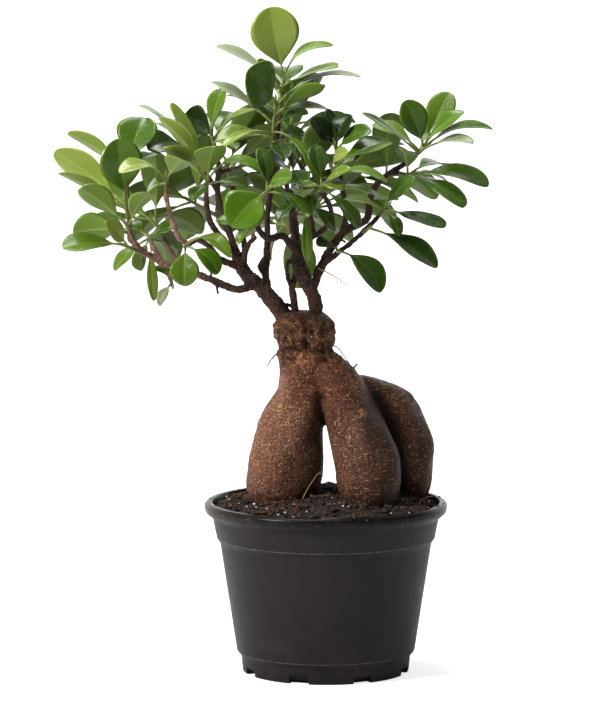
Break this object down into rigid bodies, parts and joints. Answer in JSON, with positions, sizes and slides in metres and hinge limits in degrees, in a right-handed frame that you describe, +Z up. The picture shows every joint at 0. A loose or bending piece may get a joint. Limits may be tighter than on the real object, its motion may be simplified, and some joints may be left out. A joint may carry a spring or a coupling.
{
  "type": "ficus ginseng bonsai",
  "caption": "Small grafted fig tree with swollen bare roots and a leafy crown, growing in soil in a plain round nursery pot.",
  "frame": {"origin": "middle of the pot's flat underside, on the plane it stands on", "axes": "+Z up along the pot's axis, +X to the viewer's right and -Y towards the viewer of the side that shows two roots"},
  "size_m": [0.267, 0.1768, 0.411],
  "materials": {
    "pot": "charcoal moulded plastic, satin, shinier on the rim",
    "soil": "dark moist peat with fibres and small white grains",
    "bark": "red-brown satin bark with pale pores and fine level lines",
    "leaf": "thick waxy green leaf, glossy above and paler below"
  },
  "bodies": {
    "root": {"pot": "pot", "soil": "soil", "trunk": "bark", "shoot_crest": "leaf", "shoot_crest_front": "leaf", "shoot_crest_low": "leaf", "shoot_upper_left": "leaf", "shoot_upper_left_back": "leaf", "shoot_fan": "leaf", "shoot_front_up": "leaf", "shoot_outer_top": "leaf", "shoot_outer_mid": "leaf", "shoot_outer_low": "leaf", "shoot_outer_foot": "leaf", "shoot_inner_low": "leaf", "shoot_hanging": "leaf", "shoot_front_left": "leaf", "shoot_left_stub": "leaf", "shoot_cross": "leaf", "shoot_right_top": "leaf", "shoot_right_young": "leaf", "shoot_thin": "leaf", "shoot_far_high": "leaf", "shoot_far_low": "leaf", "shoot_under": "leaf", "shoot_under_low": "leaf", "shoot_right_low": "leaf", "shoot_middle_up": "leaf", "shoot_centre": "leaf", "shoot_inner_back": "leaf", "shoot_back_left": "leaf", "shoot_back_left_low": "leaf", "shoot_back_left_high": "leaf", "shoot_back_middle": "leaf", "shoot_back_middle_low": "leaf", "shoot_back_middle_high": "leaf", "shoot_back_right": "leaf", "shoot_back_right_low": "leaf", "shoot_back_right_high": "leaf", "shoot_back_crest": "leaf", "shoot_back_outer": "leaf"}
  },
  "joints": []
}
